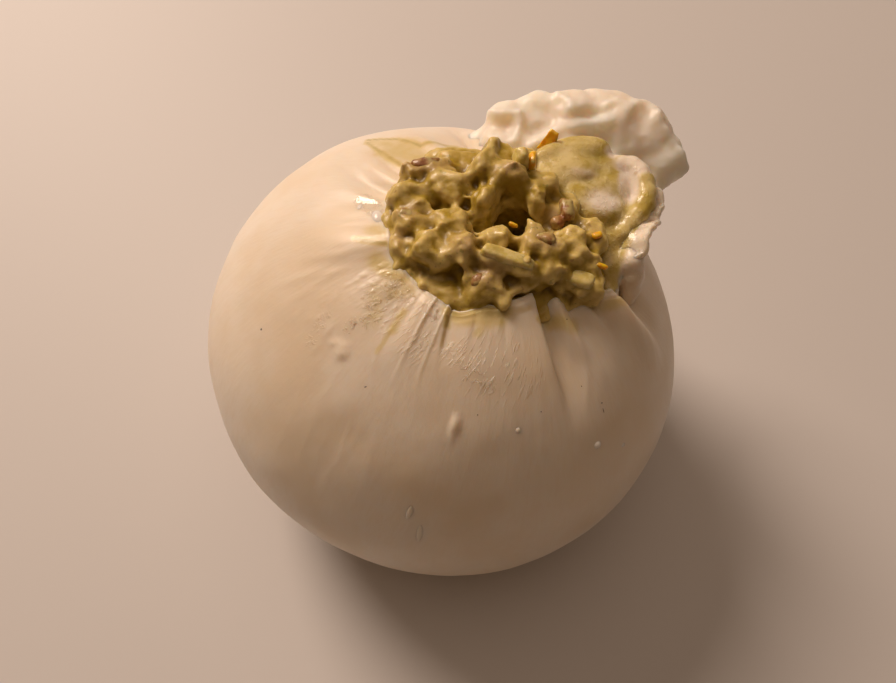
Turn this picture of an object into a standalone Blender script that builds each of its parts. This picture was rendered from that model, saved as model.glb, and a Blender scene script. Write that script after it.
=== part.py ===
"""A burrata that has been torn open at the top, standing on its own.

It is two solids: the pouch of stretched curd, with the torn collar that leans out of the opening and
the tied knot folded back behind it, and the pistachio cream that fills the pouch and heaps up out of it.

Units are metres and +Z is up. The origin is the middle of the flat spot that the ball has sagged onto.
The pouch is drawn round its own opening: theta is the angle from the opening's axis, and phi is the way
round that axis, 0 to the right, 90 to the back and -90 to the front.
"""

import math
import random

import bmesh
import bpy
import numpy as np
from mathutils import Euler, Matrix, Vector
from mathutils.bvhtree import BVHTree

# The ball at rest
WIDEST_HEIGHT = 0.030          # its widest level above the floor
WIDEST_RADIUS = 0.0491
RISE = 0.041                   # from the widest level up to where the top would close
SAG = 0.035                    # from the widest level down to where the bottom would close
SAG_POWER = 2.1                # above 2 the lower half is fuller than an ellipse
OVAL = 0.021                   # how much longer it is one way than across
OVAL_TURN = math.radians(-35.0)
SLUMP = 0.039                  # how much further it has slumped to one side than to the other
SLUMP_TURN = math.radians(173.0)

# The opening, off the middle of the top
OPENING_TILT = math.radians(13.0)
OPENING_TURN = math.radians(38.0)

# The wall of stretched curd
WALL = 0.0050                  # at the sides
LIP_WALL = 0.0028              # at the foot of the collar
WALL_REACH = 45.0              # degrees from the collar's foot to where the wall has its full thickness
EDGE_TAPER = 0.25              # share of its thickness that the collar loses towards its torn edge
EDGE_BULGE = 0.8               # how far the torn edge bulges, as a share of half its thickness
FLOOR = 0.0060                 # under the filling
GAP = 0.0005                   # between the wall and the filling
LIP_GAP = 0.0013               # between the torn edge and the filling, which shrinks away from it
BOTTOM_ANGLE = 158.0           # theta where the outer face starts, under the cut that makes it flat
FLOOR_ANGLE = 150.0            # theta where the inner face ends, on the flat floor

# How finely the solids are divided
SEGMENTS = 88                  # round the pouch
SIDE_RINGS = 20                # from under the ball up to the foot of the collar
COLLAR_RINGS = 5
INNER_RINGS = 6
SIDE_CROWDING = 1.6            # above 1, the rings crowd towards the opening
INNER_CROWDING = 1.2
BEND_STEPS = 24                # straight steps that make up the collar's bend
CREAM_SEGMENTS = SEGMENTS // 2  # round the filling, every other one in line with the pouch's
CREAM_TOP_RINGS = 9

# Round the opening, as (phi in degrees, value): where the collar starts, how long the torn skin is
# from there, and how far it turns out of the ball's surface, 90 being upright and more leaning outwards
FOOT_ANGLE = [(-161, 27.5), (-148, 29.0), (-134, 29.4), (-122, 29.8), (-114, 30.0), (-108, 30.4), (-92, 27.5),
              (-79, 26.0), (-66, 25.0), (-61, 28.0), (-54, 27.0), (-44, 29.0), (-35, 30.5), (-28, 32.5),
              (-21, 36.0), (0, 36.0), (40, 35.0), (70, 33.0), (95, 30.0), (117, 27.0), (150, 26.5)]
COLLAR_LENGTH = [(-161, 0.0012), (-140, 0.0014), (-114, 0.0018), (-107, 0.0018), (-92, 0.0022),
                 (-67, 0.0024), (-62, 0.0016), (-50, 0.0020), (-34, 0.0020), (-28, 0.0020),
                 (-22, 0.0034), (-18, 0.0070), (-14, 0.0106), (-8, 0.0116), (-4, 0.0118), (0, 0.0127),
                 (4, 0.0139), (8, 0.0144), (14, 0.0142), (22, 0.0134), (30, 0.0118), (36, 0.0100),
                 (43, 0.0108), (51, 0.0100), (60, 0.0070), (72, 0.0034), (86, 0.0020), (100, 0.0014),
                 (130, 0.0012)]
COLLAR_TURN = [(-161, 4), (-114, 6), (-92, 8), (-70, 16), (-60, 10), (-36, 26), (-28, 36),
               (-22, 66), (-18, 96), (-13, 98), (-8, 88), (-4, 92), (0, 102), (4, 124), (12, 128),
               (22, 126), (32, 116), (43, 116), (60, 100), (80, 50), (115, 6), (135, 4)]

# Folds that run down from the opening, as (phi at the lip, phi at the far end, width before,
# width after, depth, theta at the far end): angles in degrees, a negative depth is a ridge
FOLDS = [
    (-130, -127, 6.0, 5.0, 0.0004, 47),
    (-121, -115, 5.0, 4.0, -0.0002, 50),
    (-110, -104, 1.0, 6.0, 0.0006, 46),
    (-63, -62, 2.5, 8.0, 0.0032, 54),
    (-56, -51, 4.5, 4.5, -0.0012, 42),
    (-47, -46, 4.0, 4.0, 0.0012, 46),
    (-30, -24, 6.0, 4.5, -0.0022, 58),
    (-18, -18, 3.5, 5.0, 0.0026, 52),
    (166, 145, 6.0, 6.0, 0.0015, 54),
    (-160, -174, 8.0, 8.0, -0.0010, 50),
    (6, 2, 5.0, 5.0, 0.0014, 50),
    (28, 22, 6.0, 5.0, -0.0014, 52),
    (52, 48, 5.0, 5.0, 0.0016, 52),
    (78, 80, 6.0, 6.0, -0.0014, 50),
    (100, 104, 5.0, 5.0, 0.0014, 52),
    (124, 126, 6.0, 5.0, -0.0010, 48),
]
FOLD_START = 28.0              # theta where the folds are deepest

# The knot, tied from the gathered neck and folded back behind the collar: lumps that melt together,
# as (centre, half sizes, turn about the vertical in degrees)
KNOT_LUMPS = [
    ((0.0095, 0.0330, 0.0615), (0.0048, 0.0050, 0.0060), 0),
    ((0.0150, 0.0343, 0.0618), (0.0058, 0.0058, 0.0062), 20),
    ((0.0212, 0.0343, 0.0620), (0.0068, 0.0064, 0.0066), 10),
    ((0.0282, 0.0350, 0.0615), (0.0078, 0.0066, 0.0068), -10),
    ((0.0345, 0.0328, 0.0605), (0.0078, 0.0070, 0.0070), -35),
    ((0.0385, 0.0290, 0.0594), (0.0060, 0.0060, 0.0055), -20),
    ((0.0415, 0.0278, 0.0585), (0.0038, 0.0030, 0.0036), -10),
    ((0.0240, 0.0290, 0.0595), (0.0120, 0.0070, 0.0040), -20),
    ((0.0330, 0.0240, 0.0575), (0.0075, 0.0070, 0.0040), -40),
]
KNOT_VOXEL = 0.0012
KNOT_TRIANGLES = 1700

# The heap of cream, measured from the level of the lip
HEAP_RISE = 0.0060
PIT_DEPTH = 0.0110
PIT_RADIUS = 0.26              # as a share of the opening
SWELL = 0.0013                 # height of the heap's broad swells
CHUNK_COUNT = 34
CHUNK_SIZES = (0.0024, 0.0042) # half the smallest and the largest chunk
CHUNK_STRETCH = 0.25           # how much longer or shorter a chunk is than it is wide
CHUNK_ROUGHNESS = 0.14         # how far its corners lie in or out, as a share of its size
CHUNK_LIFT = 0.25              # how far its middle stands above the heap, as a share of its size
GOLDEN_ANGLE = 137.508         # spreads the chunks evenly round the heap
SEED = 11


def clear_scene():
    for thing in list(bpy.data.objects):
        bpy.data.objects.remove(thing, do_unlink=True)


def opening_axes():
    """Unit vectors of the opening: to its right, to its back, and along its axis."""
    axis = np.array([math.sin(OPENING_TILT) * math.cos(OPENING_TURN),
                     math.sin(OPENING_TILT) * math.sin(OPENING_TURN),
                     math.cos(OPENING_TILT)])
    right = np.array([1.0, 0.0, 0.0]) - axis * axis[0]
    right /= np.linalg.norm(right)
    return right, np.cross(axis, right), axis


RIGHT, BACK, AXIS = opening_axes()
CENTRE = np.array([0.0, 0.0, WIDEST_HEIGHT])


def smooth(low, high, value):
    """0 below low, 1 above high, and an even curve between them."""
    share = np.clip((value - low) / (high - low), 0.0, 1.0)
    return share * share * (3.0 - 2.0 * share)


def around(phi, points):
    """The value at phi, in degrees, of a list of (phi, value), eased from one point to the next."""
    points = sorted(points)
    angles = np.array([p[0] for p in points], float)
    values = np.array([p[1] for p in points], float)
    angles = np.append(angles, angles[0] + 360.0)
    values = np.append(values, values[0])
    phi = (phi - angles[0]) % 360.0 + angles[0]
    index = np.clip(np.searchsorted(angles, phi, side="right") - 1, 0, len(points) - 1)
    share = smooth(angles[index], angles[index + 1], phi)
    return values[index] + (values[index + 1] - values[index]) * share


def direction(theta, phi):
    theta, phi = np.radians(theta)[:, None], np.radians(phi)[:, None]
    across = np.cos(phi) * RIGHT + np.sin(phi) * BACK
    return np.sin(theta) * across + np.cos(theta) * AXIS


def ball_radius(way):
    """How far the ball's smooth surface lies from its centre, in each direction."""
    flat = np.hypot(way[:, 0], way[:, 1])
    height = way[:, 2]
    upper = 1.0 / np.hypot(flat / WIDEST_RADIUS, height / RISE)
    lower = ((flat / WIDEST_RADIUS) ** SAG_POWER + (np.abs(height) / SAG) ** SAG_POWER)
    radius = np.where(height >= 0.0, upper, lower ** (-1.0 / SAG_POWER))
    turn = np.arctan2(way[:, 1], way[:, 0])
    uneven = OVAL * np.cos(2.0 * (turn - OVAL_TURN)) + SLUMP * np.cos(turn - SLUMP_TURN)
    return radius * (1.0 + uneven * flat ** 2)


def fold_depth(theta, phi):
    """How deep the folds sink into the surface, added together."""
    depth = np.zeros_like(theta)
    for at_lip, at_end, before, after, deep, end in FOLDS:
        run = np.clip((theta - FOLD_START) / (end - FOLD_START), 0.0, 1.0)
        off = (phi - (at_lip + (at_end - at_lip) * run) + 180.0) % 360.0 - 180.0
        width = np.where(off < 0.0, before, after)
        depth += deep * np.exp(-(off / width) ** 2) * (1.0 - smooth(0.15, 1.0, run))
    return depth


def outside(theta, phi):
    way = direction(theta, phi)
    return CENTRE + way * (ball_radius(way) - fold_depth(theta, phi))[:, None]


def inside(ring, phi, inset=0.0, reach=0.0):
    """Ring 0 to INNER_RINGS of the inner face, from the foot of the collar to the flat floor.

    The filling takes the same rings, inset by the gap; reach is how far to either side, in degrees,
    it looks for a deeper fold to stay clear of.
    """
    foot = around(phi, FOOT_ANGLE)
    theta = foot + (FLOOR_ANGLE - foot) * (ring / INNER_RINGS) ** INNER_CROWDING
    way = direction(theta, phi)
    fold = np.max([fold_depth(theta, phi + off) for off in (-reach, 0.0, reach)], axis=0)
    wall = LIP_WALL + (WALL - LIP_WALL) * smooth(0.0, WALL_REACH, theta - foot)
    radius = ball_radius(way) - fold - wall - inset
    down = np.maximum(-way[:, 2], 1e-6)
    floor = np.where(way[:, 2] < 0.0, (WIDEST_HEIGHT - FLOOR - inset) / down, 1.0)
    return CENTRE + way * np.minimum(radius, floor)[:, None]


def collar(phi, share):
    """The torn skin past the foot: its two faces and its end, at a share of its length."""
    foot = around(phi, FOOT_ANGLE)
    start = outside(foot, phi)
    inwards = outside(foot - 0.5, phi) - start
    inwards /= np.linalg.norm(inwards, axis=1)[:, None]
    outwards = direction(foot, phi)
    outwards -= inwards * np.sum(outwards * inwards, axis=1)[:, None]
    outwards /= np.linalg.norm(outwards, axis=1)[:, None]
    length = around(phi, COLLAR_LENGTH)
    turn = np.radians(around(phi, COLLAR_TURN))
    middle = start - outwards * LIP_WALL / 2
    for step in range(BEND_STEPS):
        at = share * (step + 0.5) / BEND_STEPS
        bend = turn * (1.0 - (1.0 - at) ** 2)
        along = np.cos(bend)[:, None] * inwards + np.sin(bend)[:, None] * outwards
        middle = middle + along * (length * share / BEND_STEPS)[:, None]
    bend = turn * (1.0 - (1.0 - share) ** 2)
    along = np.cos(bend)[:, None] * inwards + np.sin(bend)[:, None] * outwards
    face = np.cos(bend)[:, None] * outwards - np.sin(bend)[:, None] * inwards
    half = (LIP_WALL / 2 * (1.0 - EDGE_TAPER * share))[:, None]
    return middle + face * half, middle - face * half, middle + along * half * EDGE_BULGE


def spun_tube(rings, segments):
    """A tube of unit radius, one vertex ring for each whole height from 0."""
    tube = bmesh.new()
    line = [tube.verts.new((1.0, 0.0, float(ring))) for ring in range(rings)]
    edges = [tube.edges.new(pair) for pair in zip(line, line[1:])]
    bmesh.ops.spin(tube, geom=line + edges, cent=(0, 0, 0), axis=(0, 0, 1), dvec=(0, 0, 0),
                   angle=math.tau, steps=segments, use_merge=True, use_duplicate=False)
    return tube


def place(tube, point_of_ring):
    """Move each ring of a spun tube to where point_of_ring(ring, phi) puts it."""
    rings = {}
    for vert in tube.verts:
        rings.setdefault(round(vert.co.z), []).append(vert)
    for ring, verts in rings.items():
        phi = np.degrees([math.atan2(vert.co.y, vert.co.x) for vert in verts])
        for vert, spot in zip(verts, point_of_ring(ring, phi)):
            vert.co = spot


def close(tube):
    bmesh.ops.holes_fill(tube, edges=tube.edges[:], sides=0)
    bmesh.ops.triangulate(tube, faces=tube.faces[:])
    bmesh.ops.recalc_face_normals(tube, faces=tube.faces[:])


def material(name, colour, roughness):
    made = bpy.data.materials.new(name)
    made.use_nodes = True
    shader = made.node_tree.nodes["Principled BSDF"]
    shader.inputs["Base Color"].default_value = (*colour, 1.0)
    shader.inputs["Roughness"].default_value = roughness
    shader.inputs["Metallic"].default_value = 0.0
    return made


def to_object(mesh_data, name, collection):
    mesh = bpy.data.meshes.new(name)
    mesh_data.to_mesh(mesh)
    mesh_data.free()
    thing = bpy.data.objects.new(name, mesh)
    collection.objects.link(thing)
    return thing


def apply_modifiers(thing):
    """Swap an object's mesh for what its modifiers make of it."""
    evaluated = thing.evaluated_get(bpy.context.evaluated_depsgraph_get())
    mesh = bpy.data.meshes.new_from_object(evaluated)
    thing.modifiers.clear()
    thing.data = mesh


def empty_collection(name):
    made = bpy.data.collections.new(name)
    bpy.context.scene.collection.children.link(made)
    return made


def keep_largest(thing):
    """Drop every loose shell but the largest: the scraps and pockets that a union leaves."""
    mesh_data = bmesh.new()
    mesh_data.from_mesh(thing.data)
    unseen = set(mesh_data.verts)
    shells = []
    while unseen:
        shell = {unseen.pop()}
        front = list(shell)
        while front:
            vert = front.pop()
            fresh = {edge.other_vert(vert) for edge in vert.link_edges} - shell
            shell |= fresh
            front += fresh
        unseen -= shell
        shells.append(shell)
    shells.sort(key=len)
    for shell in shells[:-1]:
        bmesh.ops.delete(mesh_data, geom=list(shell), context="VERTS")
    mesh_data.to_mesh(thing.data)
    mesh_data.free()


def join_collection(thing, collection):
    """Fuse a collection's objects into one object and remove them."""
    union = thing.modifiers.new("union", "BOOLEAN")
    union.operation = "UNION"
    union.operand_type = "COLLECTION"
    union.collection = collection
    apply_modifiers(thing)
    keep_largest(thing)
    for lump in list(collection.objects):
        bpy.data.objects.remove(lump, do_unlink=True)


def make_pouch(collection):
    """The wall, its collar and the inner face as one spun tube, cut flat where it rests."""
    outer_end = SIDE_RINGS + COLLAR_RINGS

    def spot(ring, phi):
        foot = around(phi, FOOT_ANGLE)
        if ring < SIDE_RINGS:
            up = (1.0 - ring / SIDE_RINGS) ** SIDE_CROWDING
            return outside(foot + (BOTTOM_ANGLE - foot) * up, phi)
        if ring < outer_end:
            return collar(phi, np.full_like(phi, (ring - SIDE_RINGS) / (COLLAR_RINGS - 1)))[0]
        if ring == outer_end:
            return collar(phi, np.ones_like(phi))[2]
        if ring <= outer_end + COLLAR_RINGS:
            back = outer_end + COLLAR_RINGS - ring
            return collar(phi, np.full_like(phi, back / (COLLAR_RINGS - 1)))[1]
        return inside(ring - outer_end - COLLAR_RINGS, phi)

    tube = spun_tube(outer_end + COLLAR_RINGS + INNER_RINGS + 1, SEGMENTS)
    place(tube, spot)
    bmesh.ops.bisect_plane(tube, geom=tube.verts[:] + tube.edges[:] + tube.faces[:],
                           plane_co=(0, 0, 0), plane_no=(0, 0, -1), clear_outer=True)
    close(tube)
    return to_object(tube, "pouch", collection)


def make_knot(collection):
    """The lumps of the knot, melted into one by a remesh and thinned to few triangles."""
    lump_mesh = bmesh.new()
    for centre, half, turn in KNOT_LUMPS:
        pose = Matrix.LocRotScale(Vector(centre), Euler((0, 0, math.radians(turn))), Vector(half))
        bmesh.ops.create_icosphere(lump_mesh, subdivisions=4, radius=1.0, matrix=pose)
    knot = to_object(lump_mesh, "knot_lumps", collection)
    melt = knot.modifiers.new("melt", "REMESH")
    melt.mode = "VOXEL"
    melt.voxel_size = KNOT_VOXEL
    ease = knot.modifiers.new("ease", "SMOOTH")
    ease.factor = 0.6
    ease.iterations = 4
    apply_modifiers(knot)
    thin = knot.modifiers.new("thin", "DECIMATE")
    thin.ratio = KNOT_TRIANGLES / (2.0 * len(knot.data.polygons))
    apply_modifiers(knot)
    return knot


def heap_height(share, phi):
    """The cream's height over the lip's level, from its edge (share 1) to its middle (0)."""
    turn = np.radians(phi)
    rise = smooth(1.0, 0.62, share) * HEAP_RISE
    pit = (1.0 - smooth(PIT_RADIUS * 0.45, PIT_RADIUS * 1.7, share)) * PIT_DEPTH
    swell = SWELL * np.sin(5 * turn + 9 * share) * np.sin(11 * share + 2 * turn) * (1 - share ** 4)
    return rise - pit + swell


def throat(phi):
    """The collar's narrowest place: its distance from the opening's axis, and its level along it."""
    reach = np.full_like(phi, WIDEST_RADIUS)
    level = np.zeros_like(phi)
    for off in (360.0 / SEGMENTS, -360.0 / SEGMENTS, 0.0):
        for share in np.linspace(0.0, 1.0, COLLAR_RINGS):
            for face in collar(phi + off, np.full_like(phi, share)):
                height = (face - CENTRE) @ AXIS
                away = np.linalg.norm(face - CENTRE - height[:, None] * AXIS, axis=1)
                closer = away < reach
                reach = np.where(closer, away, reach)
                level = np.where(closer, height, level)
    return reach, level


def heap_spot(share, phi, middle_level):
    """A spot on the heap: share 1 is where it leaves the throat, 0 is its middle."""
    reach, level = throat(phi)
    turn = np.radians(phi)[:, None]
    way = np.cos(turn) * RIGHT + np.sin(turn) * BACK
    height = level * share + middle_level * (1.0 - share) + heap_height(share, phi)
    return CENTRE + way * ((reach - LIP_GAP) * share)[:, None] + AXIS * height[:, None]


def make_cream(collection, middle_level):
    def spot(ring, phi):
        if ring < INNER_RINGS:
            return inside(INNER_RINGS - ring, phi, inset=GAP, reach=540.0 / SEGMENTS)
        if ring == INNER_RINGS:
            return inside(0, phi, inset=LIP_GAP, reach=540.0 / SEGMENTS)
        share = 1.0 - (ring - INNER_RINGS - 1) / CREAM_TOP_RINGS
        return heap_spot(np.full_like(phi, share), phi, middle_level)

    tube = spun_tube(INNER_RINGS + 1 + CREAM_TOP_RINGS, CREAM_SEGMENTS)
    place(tube, spot)
    close(tube)
    return to_object(tube, "filling", collection)


def add_chunks(filling, pouch, collection, middle_level):
    """Nuts and curd that stand out of the heap, each one clear of the pouch."""
    draw = random.Random(SEED)
    wall = BVHTree.FromObject(pouch, bpy.context.evaluated_depsgraph_get())
    for number in range(CHUNK_COUNT):
        share = np.array([math.sqrt(0.08 + 0.80 * (number + 0.5) / CHUNK_COUNT)])
        phi = np.array([number * GOLDEN_ANGLE + draw.uniform(-8, 8)])
        size = draw.uniform(*CHUNK_SIZES)
        turn = Euler([draw.uniform(0, math.tau) for _ in range(3)])
        stretch = Vector([1.0 + draw.uniform(-CHUNK_STRETCH, CHUNK_STRETCH) for _ in range(3)])
        spot = Vector(heap_spot(share, phi, middle_level)[0] + AXIS * size * CHUNK_LIFT)
        chunk = bmesh.new()
        bmesh.ops.create_icosphere(chunk, subdivisions=2, radius=size,
                                   matrix=Matrix.LocRotScale(spot, turn, stretch))
        for vert in chunk.verts:
            vert.co += (vert.co - spot) * draw.uniform(-CHUNK_ROUGHNESS, CHUNK_ROUGHNESS)
        reach = max((vert.co - spot).length for vert in chunk.verts)
        nearest = wall.find_nearest(spot)
        if nearest[3] < reach + GAP:
            chunk.free()
            continue
        to_object(chunk, "chunk", collection)
    join_collection(filling, collection)


clear_scene()
burrata = empty_collection("burrata")
loose = empty_collection("loose_lumps")

pouch = make_pouch(burrata)
make_knot(loose)
join_collection(pouch, loose)

lip_level = throat(np.arange(0.0, 360.0, 5.0))[1].mean()
filling = make_cream(burrata, lip_level)
add_chunks(filling, pouch, loose, lip_level)
bpy.data.collections.remove(loose)

pouch.data.materials.append(material("stretched_curd", (0.86, 0.74, 0.60), 0.35))
filling.data.materials.append(material("pistachio_cream", (0.42, 0.34, 0.12), 0.40))
for solid in (pouch, filling):
    solid.data.shade_smooth()
    solid.data.set_sharp_from_angle(angle=math.radians(50.0))
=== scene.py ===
"""A burrata torn open at the top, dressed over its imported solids.

A bag of stretched curd stands on its own flat spot. Its torn collar leans out to the right, the knot that
tied it is folded back behind the collar, and a chunky pistachio cream heaps up out of the opening.
Everything is in metres, in the frame of the solids. The bag is drawn round its opening: theta is the angle
from the opening's axis, and phi the way round it, 0 to the right, 90 to the back and -90 to the front.
"""

import math
import random

import bmesh
import bpy
import numpy as np
from mathutils import Euler, Matrix, Vector, noise


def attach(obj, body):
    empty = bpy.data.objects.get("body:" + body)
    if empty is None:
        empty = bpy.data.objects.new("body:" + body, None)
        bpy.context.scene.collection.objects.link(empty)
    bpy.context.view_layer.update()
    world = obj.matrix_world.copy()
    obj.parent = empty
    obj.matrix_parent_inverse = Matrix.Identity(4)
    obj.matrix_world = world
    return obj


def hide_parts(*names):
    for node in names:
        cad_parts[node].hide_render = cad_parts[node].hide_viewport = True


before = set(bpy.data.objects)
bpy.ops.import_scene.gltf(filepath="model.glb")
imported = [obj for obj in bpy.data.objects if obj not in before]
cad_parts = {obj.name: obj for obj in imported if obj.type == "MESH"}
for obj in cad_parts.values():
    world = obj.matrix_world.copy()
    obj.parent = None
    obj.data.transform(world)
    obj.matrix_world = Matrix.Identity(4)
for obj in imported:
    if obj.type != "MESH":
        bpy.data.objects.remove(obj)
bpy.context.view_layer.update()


# ---------------------------------------------------------------------------------------------------------
# The bag: one skin of stretched curd, pulled over the filling by hand and gathered at the top. It has been
# torn open, so it ends in a collar: a short lip at the front, and a long one that leans out to the right.
# It is a spun tube whose rings run up the outside, round the torn edge and down the inside.

WIDEST_HEIGHT = 0.030
WIDEST_RADIUS = 0.0491
RISE = 0.041
SAG = 0.035
SAG_POWER = 2.1
OVAL = 0.021
OVAL_TURN = math.radians(-35.0)
SLUMP = 0.039
SLUMP_TURN = math.radians(173.0)
OPENING_TILT = math.radians(13.0)
OPENING_TURN = math.radians(38.0)
WALL = 0.0050
WALL_REACH = 45.0
FLOOR = 0.0060
BOTTOM_ANGLE = 158.0
FLOOR_ANGLE = 150.0

SEGMENTS = 440
SIDE_RINGS = 128
COLLAR_RINGS = 26
EDGE_RINGS = 5
INNER_RINGS = 14
SIDE_CROWDING = 1.45           # above 1, the rings crowd towards the opening
INNER_CROWDING = 1.2
FRONT_CROWDING = 1.5           # how many more segments the wrinkled front of the lip has
FRONT_MIDDLE = -106.0          # the middle of that front, and how far it goes to each side
FRONT_REACH = 44.0
BEND_STEPS = 24

# Round the opening, as (phi, value): where the collar starts, how long the torn skin is from there, how far
# it turns out of the bag's surface, how thick it is, and how far the roll on its inner face stands up
FOOT_ANGLE = [(-161, 27.5), (-148, 29), (-134, 29.4), (-122, 29.8), (-114, 30), (-108, 30.4), (-92, 27.5),
              (-79, 26), (-66, 25), (-61, 28), (-54, 27), (-44, 29), (-35, 30.5), (-28, 32.5),
              (-21, 36), (0, 36), (40, 35), (70, 33), (95, 30), (117, 27), (150, 26.5)]
COLLAR_LENGTH = [(-161, 0.0012), (-140, 0.0014), (-114, 0.0018), (-107, 0.0018), (-92, 0.0022),
                 (-67, 0.0024), (-62, 0.0016), (-50, 0.002), (-34, 0.002), (-28, 0.002),
                 (-22, 0.0034), (-18, 0.007), (-14, 0.0106), (-8, 0.0116), (-4, 0.0118), (0, 0.0127),
                 (4, 0.0139), (8, 0.0144), (14, 0.0142), (22, 0.0134), (30, 0.0118), (36, 0.01),
                 (43, 0.0108), (51, 0.01), (60, 0.007), (72, 0.0034), (86, 0.002), (100, 0.0014),
                 (130, 0.0012)]
COLLAR_TURN = [(-161, 4), (-114, 6), (-92, 8), (-70, 16), (-60, 10), (-36, 26), (-28, 36),
               (-22, 66), (-18, 96), (-13, 98), (-8, 88), (-4, 92), (0, 102), (4, 124), (12, 128),
               (22, 126), (32, 116), (43, 116), (60, 100), (80, 50), (115, 6), (135, 4)]
LIP_WALL = [(-161, 0.0018), (-112, 0.0015), (-60, 0.0016), (-25, 0.002), (5, 0.0026), (30, 0.0028),
            (60, 0.0024), (100, 0.002)]
ROLL = [(-12, 0), (0, 0.0012), (6, 0.0016), (18, 0.0016), (30, 0.0012), (42, 0), (90, 0)]
ROLL_PLACE = 0.74              # where along the collar the curd is rolled up, and how wide the roll is
ROLL_WIDTH = 0.15

# Folds that run down from the opening, as (phi at the lip, phi at the far end, width before, width after,
# depth, theta at the far end): angles in degrees, a negative depth is a ridge
FOLD_START = 28.0
FOLDS = [
    (-130, -127, 6, 5, 0.0004, 47),
    (-121, -115, 5, 4, -0.0002, 50),
    (-110, -104, 0.8, 6, 0.0005, 43),
    (-63, -62, 1.8, 8, 0.0032, 54),
    (-56, -51, 4.5, 4.5, -0.0012, 42),
    (-47, -46, 4, 4, 0.0012, 46),
    (-30, -24, 6, 4.5, -0.0022, 58),
    (-18, -18, 3.5, 5, 0.0026, 52),
    (166, 145, 6, 6, 0.0015, 54),
    (-160, -174, 8, 8, -0.001, 50),
    (6, 2, 5, 5, 0.0014, 50),
    (28, 22, 6, 5, -0.0014, 52),
    (52, 48, 5, 5, 0.0016, 52),
    (78, 80, 6, 6, -0.0014, 50),
    (100, 104, 5, 5, 0.0014, 52),
    (124, 126, 6, 5, -0.001, 48),
    (-137, -133, 2, 3, 0.0002, 44),
    (-126, -122, 0.8, 1.2, 0.00012, 44),
    (-98, -97, 1.2, 1.8, 0.0001, 38),
    (-84, -84, 1.2, 1.6, 0.0001, 36),
    (-119, -116, 0.5, 0.7, -0.00026, 52),
    (-112, -109.5, 0.45, 0.6, -0.00022, 51),
    (-38, -36, 1.4, 2.4, 0.0007, 46),
    (-26, -21, 1.2, 2.4, 0.0009, 50),
    (176, 170, 3, 4, 0.0004, 46),
    (152, 138, 2, 4, 0.0005, 46),
]

# Groups of short wrinkles, as (theta from, to, phi from, to, how many, length, width, height, lean):
# degrees, and metres for the height; lean is how far phi runs for each degree of theta
WRINKLES = [
    (28, 38, -104, -70, 14, 5, 1, 0.00003, -0.1),
    (29, 46, -128, -110, 12, 14, 0.3, 0.000045, 0.42),
    (30, 40, -150, -126, 160, 0.8, 0.4, 0.00007, -0.6),
    (29, 38, -124, -110, 60, 0.8, 0.38, 0.00006, 0.4),
    (44, 54, -152, -132, 16, 1.6, 0.8, 0.00006, 0.5),
    (30, 52, -56, -18, 24, 11, 1, 0.0001, -0.2),
    (31, 50, 140, 205, 30, 8, 1.2, 0.00007, -0.3),
    (38, 112, -180, 180, 150, 13, 1, 0.000022, 0.05),
]

# Broad dents and swells, as (seed, size, height) in metres
DENTS = [(1, 0.02, 0.0003), (2, 0.007, 0.00007)]

# Soft bumps in the skin, where small blobs of curd have melted into it, as (theta, phi, half sizes along the
# way round and down the side, height, turn): degrees, and mm for the sizes
BUMPS = [
    (49.5, -133.4, 1.35, 0.9, 0.42, 14),
    (48.5, -135.6, 1.8, 0.6, 0.28, 30),
    (50.4, -95.8, 0.8, 1.2, 0.38, 12),
    (52.2, -96.2, 0.65, 1.9, 0.24, 8),
]
MM_PER_DEGREE = 0.81              # of theta, along the bag's surface


def opening_axes():
    """Unit vectors of the opening: to its right, to its back, and along its axis."""
    axis = np.array([math.sin(OPENING_TILT) * math.cos(OPENING_TURN),
                     math.sin(OPENING_TILT) * math.sin(OPENING_TURN),
                     math.cos(OPENING_TILT)])
    right = np.array([1.0, 0.0, 0.0]) - axis * axis[0]
    right /= np.linalg.norm(right)
    return right, np.cross(axis, right), axis


RIGHT, BACK, AXIS = opening_axes()
CENTRE = np.array([0.0, 0.0, WIDEST_HEIGHT])


def smooth(low, high, value):
    """0 below low, 1 above high, and an even curve between them."""
    share = np.clip((value - low) / (high - low), 0.0, 1.0)
    return share * share * (3.0 - 2.0 * share)


def around(phi, points):
    """The value at phi, in degrees, of a list of (phi, value), eased from one point to the next."""
    points = sorted(points)
    angles = np.array([p[0] for p in points], float)
    values = np.array([p[1] for p in points], float)
    angles = np.append(angles, angles[0] + 360.0)
    values = np.append(values, values[0])
    phi = (phi - angles[0]) % 360.0 + angles[0]
    index = np.clip(np.searchsorted(angles, phi, side="right") - 1, 0, len(points) - 1)
    share = smooth(angles[index], angles[index + 1], phi)
    return values[index] + (values[index + 1] - values[index]) * share


def turned(phi, middle):
    """How far phi lies past the middle, from -180 to 180."""
    return (phi - middle + 180.0) % 360.0 - 180.0


def direction(theta, phi):
    theta, phi = np.radians(theta)[:, None], np.radians(phi)[:, None]
    across = np.cos(phi) * RIGHT + np.sin(phi) * BACK
    return np.sin(theta) * across + np.cos(theta) * AXIS


def ball_radius(way):
    """How far the bag's smooth surface lies from its centre, in each direction."""
    flat = np.hypot(way[:, 0], way[:, 1])
    height = way[:, 2]
    upper = 1.0 / np.hypot(flat / WIDEST_RADIUS, height / RISE)
    lower = ((flat / WIDEST_RADIUS) ** SAG_POWER + (np.abs(height) / SAG) ** SAG_POWER)
    radius = np.where(height >= 0.0, upper, lower ** (-1.0 / SAG_POWER))
    turn = np.arctan2(way[:, 1], way[:, 0])
    slack = OVAL * np.cos(2.0 * (turn - OVAL_TURN)) + SLUMP * np.cos(turn - SLUMP_TURN)
    return radius * (1.0 + slack * flat ** 2)


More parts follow.
